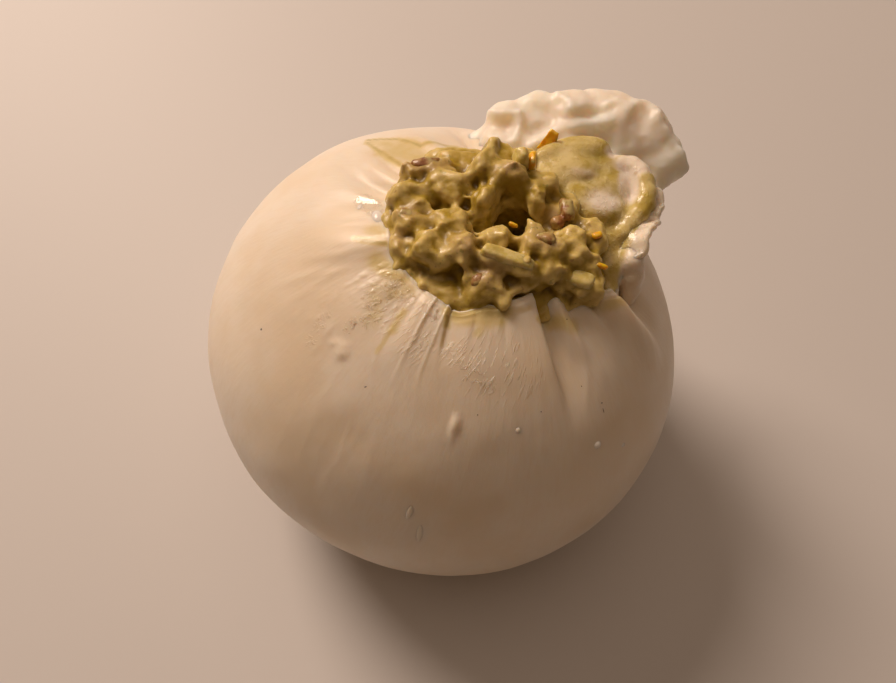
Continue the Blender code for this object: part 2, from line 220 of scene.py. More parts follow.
def fold_depth(theta, phi):
    """How deep the folds sink into the surface, added together."""
    depth = np.zeros_like(theta)
    for at_lip, at_end, before, after, deep, end in FOLDS:
        run = np.clip((theta - FOLD_START) / (end - FOLD_START), 0.0, 1.0)
        off = turned(phi, at_lip + (at_end - at_lip) * run)
        width = np.where(off < 0.0, before, after)
        depth += deep * np.exp(-(off / width) ** 2) * (1.0 - smooth(0.15, 1.0, run))
    return depth


def scattered_wrinkles():
    """Every wrinkle's place, length, width, height and lean, drawn from the groups."""
    draw = random.Random(7)
    found = []
    for low, high, first, last, count, length, width, height, lean in WRINKLES:
        for _ in range(count):
            found.append((draw.uniform(low, high), draw.uniform(first, last),
                          length * draw.uniform(0.5, 1.4), width * draw.uniform(0.6, 1.4),
                          height * draw.uniform(0.4, 1.5), lean + draw.uniform(-0.25, 0.25)))
    return np.array(found)


ALL_WRINKLES = scattered_wrinkles()


def wrinkle_height(theta, phi):
    height = np.zeros_like(theta)
    low, high = theta.min(), theta.max()
    for at, beside, length, width, high_by, lean in ALL_WRINKLES:
        if at - length > high or at + length < low:
            continue
        along = (theta - at) / length
        across = turned(phi, beside + lean * (theta - at)) / width
        height += high_by * np.exp(-across ** 2) * (1.0 - smooth(0.2, 1.0, np.abs(along)))
    return height


def bump_height(theta, phi):
    height = np.zeros_like(theta)
    for at, beside, across, down, high_by, turn in BUMPS:
        right = turned(phi, beside) * MM_PER_DEGREE * math.sin(math.radians(at))
        above = (at - theta) * MM_PER_DEGREE
        cos, sin = math.cos(math.radians(turn)), math.sin(math.radians(turn))
        off = ((right * cos + above * sin) / across) ** 2 + ((above * cos - right * sin) / down) ** 2
        height += high_by * 0.001 * np.exp(-off ** 1.4)
    return height


def fbm(spots, size, seed, octaves=3):
    """Even noise from about -1 to 1 at each spot, with features of about the given size."""
    shift = Vector((seed * 7.31, seed * 3.17, seed * 5.73))
    return np.array([noise.fractal(Vector(spot) / size + shift, 0.9, 2.0, octaves) for spot in spots])


def outside(theta, phi):
    way = direction(theta, phi)
    radius = ball_radius(way) - fold_depth(theta, phi)
    return CENTRE + way * radius[:, None]


def unevenness(theta, phi):
    """How far the wrinkles, bumps and broad dents lift the outer face."""
    spots = outside(theta, phi)
    broad = sum(fbm(spots, size, seed, 2) * height for seed, size, height in DENTS)
    return broad + wrinkle_height(theta, phi) + bump_height(theta, phi)


def uneven(theta, phi):
    """The outer face with its wrinkles, bumps and broad dents."""
    return outside(theta, phi) + direction(theta, phi) * unevenness(theta, phi)[:, None]


def inside(ring, phi, inset=0.0):
    """Ring 0 to INNER_RINGS of the inner face, from the foot of the collar to the flat floor."""
    foot = around(phi, FOOT_ANGLE)
    theta = foot + (FLOOR_ANGLE - foot) * (ring / INNER_RINGS) ** INNER_CROWDING
    way = direction(theta, phi)
    lip = around(phi, LIP_WALL)
    wall = lip + (WALL - lip) * smooth(0.0, WALL_REACH, theta - foot)
    radius = ball_radius(way) - fold_depth(theta, phi) - wall - inset
    down = np.maximum(-way[:, 2], 1e-6)
    floor = np.where(way[:, 2] < 0.0, (WIDEST_HEIGHT - FLOOR - inset) / down, 1.0)
    return CENTRE + way * np.minimum(radius, floor)[:, None]


def torn_by(phi):
    """How far the torn edge reaches past the collar's length: ragged round the ear, smooth elsewhere."""
    turn = np.radians(phi)
    ring = np.stack([np.cos(turn), np.sin(turn), 0 * turn], 1)
    ragged = smooth(-8.0, 4.0, phi) * (1.0 - smooth(60.0, 85.0, phi))
    broad = around(phi, COLLAR_LENGTH) * 0.05 * fbm(ring, 0.11, 3, 4)
    fine = 0.00034 * fbm(ring, 0.045, 4, 4)
    return broad * (0.15 + 0.85 * ragged) + fine * (0.12 + 0.88 * ragged)


def collar(phi, share, lean=0.0):
    """The torn skin past the foot, at a share of its length; lean goes from its outer face, 1, to -1."""
    foot = around(phi, FOOT_ANGLE)
    start = outside(foot, phi)
    inwards = outside(foot - 0.5, phi) - start
    inwards /= np.linalg.norm(inwards, axis=1)[:, None]
    outwards = direction(foot, phi)
    outwards -= inwards * np.sum(outwards * inwards, axis=1)[:, None]
    outwards /= np.linalg.norm(outwards, axis=1)[:, None]
    length = around(phi, COLLAR_LENGTH)
    torn = torn_by(phi) * smooth(0.78, 1.0, share)
    turn = np.radians(around(phi, COLLAR_TURN))
    wall = around(phi, LIP_WALL)
    middle = start - outwards * (wall / 2)[:, None]
    for step in range(BEND_STEPS):
        at = share * (step + 0.5) / BEND_STEPS
        bend = turn * (1.0 - (1.0 - at) ** 2)
        along = np.cos(bend)[:, None] * inwards + np.sin(bend)[:, None] * outwards
        middle = middle + along * ((length * share + torn) / BEND_STEPS)[:, None]
    bend = turn * (1.0 - (1.0 - share) ** 2)
    along = np.cos(bend)[:, None] * inwards + np.sin(bend)[:, None] * outwards
    face = np.cos(bend)[:, None] * outwards - np.sin(bend)[:, None] * inwards
    roll = around(phi, ROLL) * np.exp(-((share - ROLL_PLACE) / ROLL_WIDTH) ** 2) * (1.0 - lean) / 2
    crumple = smooth(0.0, 0.5, share) * np.minimum(length / 0.012, 1.0)
    waves = fbm(middle, 0.0070, 5, 3) * 0.00030 * crumple
    half = wall / 2 * (1.0 - 0.45 * smooth(0.6, 1.0, share))
    edge = half * np.cos(np.radians(90.0 * lean)) ** 0.8 * 0.8 if abs(lean) < 1 else 0.0 * half
    side = half * np.sin(np.radians(90.0 * lean)) + waves - roll
    return middle + face * side[:, None] + along * edge[:, None]


def spun_tube(rings, segments):
    """A tube of unit radius, one vertex ring for each whole height from 0."""
    tube = bmesh.new()
    line = [tube.verts.new((1.0, 0.0, float(ring))) for ring in range(rings)]
    edges = [tube.edges.new(pair) for pair in zip(line, line[1:])]
    bmesh.ops.spin(tube, geom=line + edges, cent=(0, 0, 0), axis=(0, 0, 1), dvec=(0, 0, 0),
                   angle=math.tau, steps=segments, use_merge=True, use_duplicate=False)
    return tube


def place(tube, point_of_ring, marks=()):
    """Move each ring of a spun tube to where point_of_ring(ring, phi) puts it.

    It may also give values for the named marks, which the materials read. A mark that it leaves out stays 0.
    """
    layers = [tube.verts.layers.float.new(mark) for mark in marks]
    rings = {}
    for vert in tube.verts:
        rings.setdefault(round(vert.co.z), []).append(vert)
    for ring, verts in rings.items():
        phi = np.degrees([math.atan2(vert.co.y, vert.co.x) for vert in verts])
        spots, *values = point_of_ring(ring, phi)
        for row, vert in enumerate(verts):
            vert.co = spots[row]
            for layer, value in zip(layers, values):
                vert[layer] = value[row]


def crowd(phi):
    """Draws the tube's even segments together at the front of the lip."""
    even = np.linspace(-180.0, 180.0, 721)
    density = 1.0 + FRONT_CROWDING * np.exp(-((even - FRONT_MIDDLE) / FRONT_REACH) ** 4)
    total = np.append(0.0, np.cumsum((density[1:] + density[:-1]) / 2))
    return np.interp((phi + 180.0) / 360.0, total / total[-1], even)


def close(tube):
    bmesh.ops.holes_fill(tube, edges=tube.edges[:], sides=0)
    bmesh.ops.recalc_face_normals(tube, faces=tube.faces[:])


def to_object(mesh_data, name):
    mesh = bpy.data.meshes.new(name)
    mesh_data.to_mesh(mesh)
    mesh_data.free()
    mesh.shade_smooth()
    thing = bpy.data.objects.new(name, mesh)
    bpy.context.scene.collection.objects.link(thing)
    return thing


# Strokes on the skin, as (theta, phi, theta, phi, half width, strength): where oil from the filling has run
# over it, where it is wet with whey, and where it is drawn up in short sharp ridges
OIL = [
    (48.6, 134.4, 46.4, 133.2, 0.0005, 1.3),
    (46.4, 133.2, 40.4, 129.5, 0.0006, 1.05),
    (40.4, 129.5, 31.2, 128.5, 0.0007, 0.9),
    (31.2, 128.5, 26.8, 108, 0.0009, 0.8),
    (47, 136.4, 38.4, 141, 0.0006, 0.95),
    (38.4, 141, 28, 147, 0.0009, 0.85),
    (46, 134.8, 36, 135, 0.002, 0.6),
    (36, 135, 27, 136, 0.0042, 0.6),
    (34.1, -165, 27.6, -156.7, 0.0006, 0.95),
    (30.4, -168, 27.6, -163, 0.0018, 0.55),
    (31.5, -152, 28.5, -138, 0.0018, 0.7),
    (33, -141, 39, -134, 0.0022, 0.4),
    (33, -136, 29, -131, 0.0016, 0.5),
    (34, -126.8, 38.5, -125.6, 0.0009, 0.62),
    (38.5, -125.6, 44.5, -125.2, 0.0005, 0.5),
    (29.6, -110, 31.6, -108.8, 0.0007, 0.95),
    (31.6, -108.8, 36, -107.6, 0.0004, 0.45),
    (27.6, -107, 25.6, -92, 0.0022, 0.95),
    (25.6, -92, 25.2, -84, 0.0018, 0.85),
    (25.2, -84, 24.6, -70, 0.0008, 0.45),
    (29.2, -106, 27.4, -86, 0.0014, 0.7),
    (31, -96, 29, -94, 0.001, 0.55),
    (27.5, -67, 29, -65, 0.0007, 0.6),
    (29, -58, 31.5, -50, 0.0016, 0.65),
    (31, -36, 33.5, -28, 0.0014, 0.6),
    (36, -18, 34, 0, 0.001, 0.4),
]
WET = [
    (30.5, -140, 31, -130, 0.0013, 0.9),
    (34, -138, 40, -135, 0.0016, 0.9),
    (36, -142, 37.5, -140, 0.0012, 0.8),
    (43, -138, 45, -137, 0.0008, 0.8),
    (29, -118, 38, -112, 0.0012, 0.7),
    (36, -104, 42, -88, 0.0018, 0.4),
    (29.5, 179, 33, 172, 0.002, 0.7),
    (47, -145, 53, -142, 0.002, 0.35),
]
RIDGED = [
    (37, -101, 38, -94, 0.0022, 0.8),
    (37, -92, 38, -80, 0.003, 1),
    (30, -122, 40, -117, 0.0016, 0.7),
    (33, -138, 36, -132, 0.0022, 0.9),
]

# Cream is smeared all over the torn ear, but thinly or not at all on these patches, seen from above as
# (x, y, half sizes, how bare) in mm
BARE = [
    (31.4, 17.6, 3.6, 2, 1.1),
    (29.8, 13.6, 1.8, 3.4, 0.95),
    (25.2, 9.4, 3.4, 2.6, 0.62),
    (31.4, -2.4, 2.6, 4.6, 1.3),
    (27.2, 19.8, 1.6, 1.6, 0.6),
    (22, 14.6, 3, 1.2, 0.35),
]
WET_EAR = (25.2, 9.6, 3.4, 2.8)


SKIN_REACH = 0.0465              # from the middle of the bag to the skin round the opening


def painted(theta, phi, strokes):
    """How strongly the strokes cover each place: each is a straight smear with soft sides."""
    cover = np.zeros_like(theta)
    for theta_a, phi_a, theta_b, phi_b, width, strength in strokes:
        level = math.sin(math.radians((theta_a + theta_b) / 2))
        scale = np.radians(SKIN_REACH)
        ahead = np.array([theta_b - theta_a, turned(phi_b, phi_a) * level]) * scale
        down, beside = (theta - theta_a) * scale, turned(phi, phi_a) * level * scale
        share = np.clip((down * ahead[0] + beside * ahead[1]) / max(ahead @ ahead, 1e-12), 0.0, 1.0)
        off = np.hypot(down - share * ahead[0], beside - share * ahead[1])
        cover = np.maximum(cover, strength * np.exp(-(off / width) ** 2 * 0.7))
    return cover


def blots(spots, patches):
    """How strongly the patches cover each spot, seen from above."""
    cover = np.zeros(len(spots))
    for x, y, across, along, strength in patches:
        off = ((spots[:, 0] * 1000 - x) / across) ** 2 + ((spots[:, 1] * 1000 - y) / along) ** 2
        cover = np.maximum(cover, strength * np.exp(-off))
    return cover


def skin_ring(ring, phi):
    """A ring of the skin, how oily, wet and smeared with cream it is, and where it lies round the bag."""
    phi = crowd(phi)
    foot = around(phi, FOOT_ANGLE)
    bare = np.zeros_like(phi)
    way = (np.cos(np.radians(phi)), np.sin(np.radians(phi)))
    past_edge = SIDE_RINGS + COLLAR_RINGS + EDGE_RINGS
    ear = smooth(-26.0, -12.0, phi) * (1.0 - smooth(70.0, 92.0, phi))
    if ring < SIDE_RINGS:
        up = (1.0 - ring / SIDE_RINGS) ** SIDE_CROWDING
        theta = foot + (BOTTOM_ANGLE - foot) * up
        return (uneven(theta, phi), painted(theta, phi, OIL), painted(theta, phi, WET), bare, *way, theta,
                painted(theta, phi, RIDGED))
    if ring < SIDE_RINGS + COLLAR_RINGS:
        share = np.full_like(phi, (ring - SIDE_RINGS) / (COLLAR_RINGS - 1))
        theta = foot - 3.0 * share
        rise = unevenness(foot, phi) * (1.0 - share) ** 2
        spots = collar(phi, share, 1.0) + direction(foot, phi) * rise[:, None]
        return spots, painted(theta, phi, OIL), painted(theta, phi, WET), bare, *way, theta
    if ring < past_edge:
        lean = 1.0 - 2.0 * (ring - SIDE_RINGS - COLLAR_RINGS + 1) / (EDGE_RINGS + 1)
        spots = collar(phi, np.ones_like(phi), lean)
        return spots, bare, bare + 0.5, (1.0 - ear) * smooth(0.0, -0.8, lean), *way, foot - 3.0
    if ring < past_edge + COLLAR_RINGS:
        share = np.full_like(phi, 1.0 - (ring - past_edge) / (COLLAR_RINGS - 1))
        spots = collar(phi, share, -1.0)
        smear = 1.0 - ear * np.maximum(blots(spots, BARE), smooth(0.80, 0.94, share))
        wet = 0.45 + 0.55 * blots(spots, [(*WET_EAR, 1.0)])
        return spots, bare, wet, smear, *way, foot - 3.0 * share
    return inside(ring - past_edge - COLLAR_RINGS + 1, phi), bare, bare, bare + 1.0, *way, foot


skin_mesh = spun_tube(SIDE_RINGS + 2 * COLLAR_RINGS + EDGE_RINGS + INNER_RINGS, SEGMENTS)
place(skin_mesh, skin_ring, ["oil", "wet", "smear", "way_right", "way_back", "way_down", "ridged"])
bmesh.ops.bisect_plane(skin_mesh, geom=skin_mesh.verts[:] + skin_mesh.edges[:] + skin_mesh.faces[:],
                       plane_co=(0, 0, 0), plane_no=(0, 0, -1), clear_outer=True)
close(skin_mesh)
skin = to_object(skin_mesh, "skin")


class Wire:
    """A socket in a material that Python can reckon with: each operator adds its Math node."""

    def __init__(self, tree, socket=None):
        self.tree = tree
        self.socket = socket

    def node(self, kind, settings, inputs, output=0):
        """Any other node: its settings first, then the values or wires of its sockets."""
        made = self.tree.nodes.new("ShaderNode" + kind)
        for name, value in settings.items():
            setattr(made, name, value)
        for key, value in inputs.items():
            socket = next(s for s in made.inputs if key in (s.identifier, s.name))
            if isinstance(value, Wire):
                self.tree.links.new(value.socket, socket)
            else:
                socket.default_value = value
        return Wire(self.tree, made.outputs[output])

    def math(self, operation, *values):
        keys = ("Value", "Value_001", "Value_002")
        return self.node("Math", {"operation": operation}, dict(zip(keys, values)))

    def __add__(self, other):
        return self.math("ADD", self, other)

    __radd__ = __add__

    def __mul__(self, other):
        return self.math("MULTIPLY", self, other)

    __rmul__ = __mul__

    def __sub__(self, other):
        return self.math("SUBTRACT", self, other)

    def __rsub__(self, other):
        return self.math("SUBTRACT", other, self)

    def step(self, low, high):
        """0 where the value is below low, 1 above high, and eased between them."""
        keys = {"Value": self, "From Min": low, "From Max": high, "To Min": 0.0, "To Max": 1.0}
        return self.node("MapRange", {"interpolation_type": "SMOOTHSTEP"}, keys)

    def mix(self, low, high):
        """The low colour where this is 0 and the high one where it is 1."""
        keys = {"Factor_Float": self, "A_Color": low, "B_Color": high}
        return self.node("Mix", {"data_type": "RGBA"}, keys, output=2)

    def noise(self, spots, size, detail=3.0, roughness=0.55, distortion=0.0):
        """Noise from 0 to 1 whose features are about as large as size."""
        keys = {"Vector": spots, "Scale": 1.0 / size, "Detail": detail, "Roughness": roughness,
                "Distortion": distortion}
        return self.node("TexNoise", {}, keys)

    def mark(self, name):
        return self.node("Attribute", {"attribute_name": name}, {}, output="Fac")


def finish(name, constants):
    """A material with its steady values set, and a wire to start its nodes from."""
    made = bpy.data.materials.new(name)
    made.use_nodes = True
    shader = made.node_tree.nodes["Principled BSDF"]
    for key, value in constants.items():
        shader.inputs[key].default_value = value
    return made, Wire(made.node_tree)


def feed(made, wires):
    shader = made.node_tree.nodes["Principled BSDF"]
    for key, wire in wires.items():
        made.node_tree.links.new(wire.socket, shader.inputs[key])


FRESH_CURD = (0.96, 0.88, 0.765, 1.0)
WHITE_CURD = (0.87, 0.77, 0.64, 1.0)
SOAKED_CURD = (0.82, 0.69, 0.52, 1.0)
OILY_CURD = (0.70, 0.55, 0.20, 1.0)
OIL_EDGE = (0.36, 0.26, 0.03, 1.0)
SMEAR_PALE = (0.72, 0.59, 0.27, 1.0)
SMEAR_DEEP = (0.53, 0.40, 0.08, 1.0)


def curd_material(name, pale, deep, depth, marked=False):
    """Stretched curd: dense, glossy, and lit to some depth. Where marked, it is oily, wet or smeared."""
    made, start = finish(name, {
        "Subsurface Weight": 1.0, "Subsurface Radius": (1.0, 0.84, 0.66),
        "Subsurface Scale": depth,
        "IOR": 1.42, "Coat Roughness": 0.06, "Coat IOR": 1.40, "Specular IOR Level": 0.5})
    spots = start.node("TexCoord", {}, {}, output="Object")
    patches = start.noise(spots, 0.016, 3.0, 0.5).step(0.35, 0.68)
    colour = patches.mix(pale, deep)
    pores = start.noise(spots, 0.0009, 2.0, 0.6)
    rough = 0.30 + 0.16 * start.noise(spots, 0.010, 3.0, 0.6)
    height = 0.10 * pores + 0.5 * start.noise(spots, 0.0045, 3.0, 0.5)
    wires = {}
    if marked:
        down = start.mark("way_down")
        strand_keys = {"X": 3.0 * start.mark("way_right"), "Y": 3.0 * start.mark("way_back"),
                       "Z": 0.012 * down}
        strand_spots = start.node("CombineXYZ", {}, strand_keys)
        strands = start.noise(strand_spots, 0.050, 4.0, 0.6, 0.25)
        height = height + 0.35 * strands
        ridge_keys = {"X": 3.0 * start.mark("way_right") + 0.030 * down, "Y": 3.0 * start.mark("way_back"),
                      "Z": 0.012 * down}
        ridge_spots = start.node("CombineXYZ", {}, ridge_keys)
        ridges = start.noise(ridge_spots, 0.048, 2.0, 0.5, 0.3).step(0.56, 0.68)
        height = height + (3.2 * start.mark("ridged")) * ridges
        colour = (0.35 * strands.step(0.42, 0.72)).mix(colour, SOAKED_CURD)
        speckle = start.noise(spots, 0.0022, 3.0, 0.6)
        oil = start.mark("oil") + 0.5 * (speckle - 0.5)
        film = oil.step(0.12, 0.70)
        deep = oil.step(0.60, 1.05)
        colour = (0.75 * film).mix(colour, OILY_CURD)
        colour = (0.55 * deep).mix(colour, OIL_EDGE)
        smear = start.mark("smear") + 0.55 * (start.noise(spots, 0.0042, 4.0, 0.6) - 0.5)
        cream = start.noise(spots, 0.0035, 4.0, 0.6, 0.4).step(0.36, 0.68).mix(SMEAR_PALE, SMEAR_DEEP)
        colour = smear.step(0.45, 0.85).mix(colour, cream)
        wet = (start.mark("wet") + 0.4 * (speckle - 0.5)).step(0.25, 0.6)
        rough = rough - 0.18 * wet - 0.08 * film
        crinkle = start.noise(spots, 0.0014, 3.0, 0.65, 1.2).step(0.52, 0.60)
        height = height + (3.8 * wet) * crinkle
        wires["Coat Weight"] = 0.8 * wet + 0.3 * film * (1.0 - wet)
    bump = start.node("Bump", {}, {"Strength": 0.5, "Distance": 0.00022, "Height": height})
    wires.update({"Base Color": colour, "Roughness": rough, "Normal": bump})
    feed(made, wires)
    return made


def dress(piece, made, node):
    """Give a piece its material, hang it on the root body, and hide the imported part that it stands for."""
    piece.data.materials.append(made)
    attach(piece, "root")
    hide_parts(node)


stretched_curd = curd_material("stretched_curd", WHITE_CURD, SOAKED_CURD, 0.0014, marked=True)
dress(skin, stretched_curd, "pouch")


# ---------------------------------------------------------------------------------------------------------
# The knot: the neck of the bag, twisted, tied and folded back on itself behind the collar. It is a fat,
# crumpled fist of curd, melted together from lumps, with hollows between soft ridges.

KNOT_LUMPS = [
    ((0.0095, 0.033, 0.0615), (0.0048, 0.005, 0.006), 0),
    ((0.015, 0.0343, 0.0618), (0.0058, 0.0058, 0.0062), 20),
    ((0.0212, 0.0343, 0.062), (0.0068, 0.0064, 0.0066), 10),
    ((0.0282, 0.035, 0.0615), (0.0078, 0.0066, 0.0068), -10),
    ((0.0345, 0.0328, 0.0605), (0.0078, 0.007, 0.007), -35),
    ((0.0385, 0.029, 0.0594), (0.006, 0.006, 0.0055), -20),
    ((0.0415, 0.0278, 0.0585), (0.0038, 0.003, 0.0036), -10),
    ((0.024, 0.029, 0.0595), (0.012, 0.007, 0.004), -20),
    ((0.033, 0.024, 0.0575), (0.0075, 0.007, 0.004), -40),
    ((0.011, 0.028, 0.061), (0.008, 0.005, 0.005), -10),
    ((0.018, 0.0275, 0.0625), (0.007, 0.004, 0.004), -10),
    ((0.0064, 0.0308, 0.0582), (0.0054, 0.005, 0.0036), 20),
]
KNOT_VOXEL = 0.00042
KNOT_SQUARENESS = 2.5          # above 2, the lumps are flatter on top
KNOT_RELIEF = 0.00085          # metres for each mm in the lists below
KNOT_SWELLS = [(21, 2, 0.0075, 0.00045), (22, 3, 0.0026, 0.00022)]     # seed, octaves, size and height
KNOT_CREASES = [(23, 2, 0.0055, 0.0006), (24, 2, 0.0026, 0.00032)]
KNOT_FACE = np.array((0.0, -0.434, 0.901))   # the way its crumpled side faces
KNOT_UP = np.array((0.0, 0.901, 0.434))

# On the crumpled side, in mm to the right of the middle and up that side: hollows as (right, up, half sizes,
# depth), and ridges as (height, half width, the points that they run through)
KNOT_HOLLOWS = [
    (8.3, 55.9, 2.3, 2, 1.2),
    (15.2, 58.9, 3.1, 2.2, 1.3),
    (14.4, 54.2, 2, 2.2, 1.1),
    (25.2, 58.3, 4.4, 1.5, 1.5),
    (20.4, 56.2, 2.4, 1.4, 0.6),
    (35.4, 52.6, 4, 3.6, 1.1),
    (39.6, 58.6, 1.6, 1.6, 0.7),
    (36.5, 48.6, 3, 2.4, 0.9),
]
KNOT_RIDGES = [
    (0.7, 0.9, [(5.6, 58.3), (7.6, 57.9), (10.9, 58)]),
    (1, 0.9, [(11.4, 58.2), (11.1, 55.5), (10.6, 52.2)]),
    (0.9, 0.9, [(18.5, 62.4), (20.5, 60.6), (20.5, 58.7)]),
    (0.7, 0.9, [(20.9, 58.8), (24.6, 60), (28.1, 60.4), (29.4, 61.3)]),
    (1.1, 1.4, [(14.2, 51.8), (18.9, 55.3), (24.3, 56.4), (30.6, 58.9), (33.2, 60.7)]),
    (0.9, 1.2, [(33.2, 60.7), (35.4, 61.6), (38.5, 59.6)]),
    (1.4, 0.9, [(37.4, 58.8), (40, 55.6), (42.6, 52.3), (44, 49.9)]),
    (0.8, 1.3, [(31.8, 57.9), (29.9, 52.9), (31, 51.6)]),
]


def remesh(thing, voxel, smoothing):
    """Swap a thing's mesh for an even, closed and smoothed one round the same shape."""
    melt = thing.modifiers.new("melt", "REMESH")
    melt.mode = "VOXEL"
    melt.voxel_size = voxel
    ease = thing.modifiers.new("ease", "SMOOTH")
    ease.factor = 0.5
    ease.iterations = smoothing
    evaluated = thing.evaluated_get(bpy.context.evaluated_depsgraph_get())
    mesh = bpy.data.meshes.new_from_object(evaluated)
    thing.modifiers.clear()
    thing.data = mesh
    mesh.shade_smooth()


def mesh_spots(mesh):
    spots = np.zeros(len(mesh.vertices) * 3)
    mesh.vertices.foreach_get("co", spots)
    return spots.reshape(-1, 3)


def mesh_normals(mesh):
    normals = np.zeros(len(mesh.vertices) * 3)
    mesh.vertex_normals.foreach_get("vector", normals)
    return normals.reshape(-1, 3)


def push_out(thing, distance):
    """Move each vertex along its normal."""
    spots = mesh_spots(thing.data) + mesh_normals(thing.data) * distance[:, None]
    thing.data.vertices.foreach_set("co", spots.ravel())
    thing.data.update()


def melted(mesh_data, name, voxel, smoothing, coat=0.0):
    """Overlapping lumps as one skin. A coat of cream bridges the narrow gaps between them."""
    thing = to_object(mesh_data, name)
    remesh(thing, voxel, smoothing)
    if coat:
        push_out(thing, np.full(len(thing.data.vertices), -coat))
        remesh(thing, voxel, smoothing)
    return thing


def from_line(across, up, points):
    """How far each place lies from a line through the points."""
    nearest = np.full(len(across), 1e9)
    for (x, y), (next_x, next_y) in zip(points, points[1:]):
        run_x, run_y = next_x - x, next_y - y
        share = np.clip(((across - x) * run_x + (up - y) * run_y) / (run_x ** 2 + run_y ** 2), 0.0, 1.0)
        nearest = np.minimum(nearest, np.hypot(across - x - share * run_x, up - y - share * run_y))
    return nearest


def knot_relief(spots, normals):
    across, up = spots[:, 0] * 1000, spots @ KNOT_UP * 1000
    relief = np.zeros(len(spots))
    for x, y, wide, high, depth in KNOT_HOLLOWS:
        relief -= depth * np.exp(-((across - x) / wide) ** 2 - ((up - y) / high) ** 2)
    for height, width, points in KNOT_RIDGES:
        relief += height * np.exp(-(from_line(across, up, points) / width) ** 2)
    return relief * KNOT_RELIEF * smooth(-0.2, 0.5, normals @ KNOT_FACE)


def squarish(mesh_data, centre, half, turn, squareness, roughness, draw, divisions=3):
    """A lump between an egg and a brick, with its surface pushed in and out."""
    base = bmesh.ops.create_icosphere(mesh_data, subdivisions=divisions, radius=1.0)["verts"]
    pose = Matrix.LocRotScale(Vector(centre), turn, None)
    shift = Vector([draw.uniform(-50, 50) for _ in range(3)])
    for vert in base:
        way = vert.co.normalized()
        reach = sum(abs(part) ** squareness for part in way) ** (-1.0 / squareness)
        reach *= 1.0 + roughness * noise.fractal(way * 1.3 + shift, 0.9, 2.0, 3)
        vert.co = pose @ Vector([part * reach * size for part, size in zip(way, half)])
    return base


draw = random.Random(11)
knot_mesh = bmesh.new()
for centre, half, turn in KNOT_LUMPS:
    squarish(knot_mesh, centre, half, Euler((0, 0, math.radians(turn))), KNOT_SQUARENESS, 0.0, draw, 4)
knot = melted(knot_mesh, "knot", KNOT_VOXEL, 6)
spots = mesh_spots(knot.data)
crumples = sum(height * fbm(spots, size, seed, octaves) for seed, octaves, size, height in KNOT_SWELLS)
crumples -= sum(height * np.abs(fbm(spots, size, seed, octaves))
                for seed, octaves, size, height in KNOT_CREASES)
push_out(knot, crumples + knot_relief(spots, mesh_normals(knot.data)))
remesh(knot, KNOT_VOXEL, 2)
dress(knot, curd_material("knotted_curd", FRESH_CURD, WHITE_CURD, 0.0042), "pouch")


# ---------------------------------------------------------------------------------------------------------
# The filling: a loose cream of curd shreds, pistachio and oil. Inside the bag it follows the wall; out of
# the opening it stands in coated chunks round a pit. The chunks are lumps melted together under a coat of
# cream, then roughened.

GAP = 0.0005
CREAM_SEGMENTS = 176
POOL_RINGS = 4
CAP_RINGS = 24
# How far up the lip the cream stands, as (phi, share of the collar's length)
POOL_CLIMB = [(-161, 0.6), (-145, 0.85), (-132, 0.9), (-70, 0.9), (-60, 0.35), (-20, 0.4), (60, 0.4),
              (130, 0.5)]
CAP_DROP = 0.0110              # how far the body of the cream lies under the lip in the middle, below the pit
HEAP_VOXEL = 0.00030
COAT = 0.00055

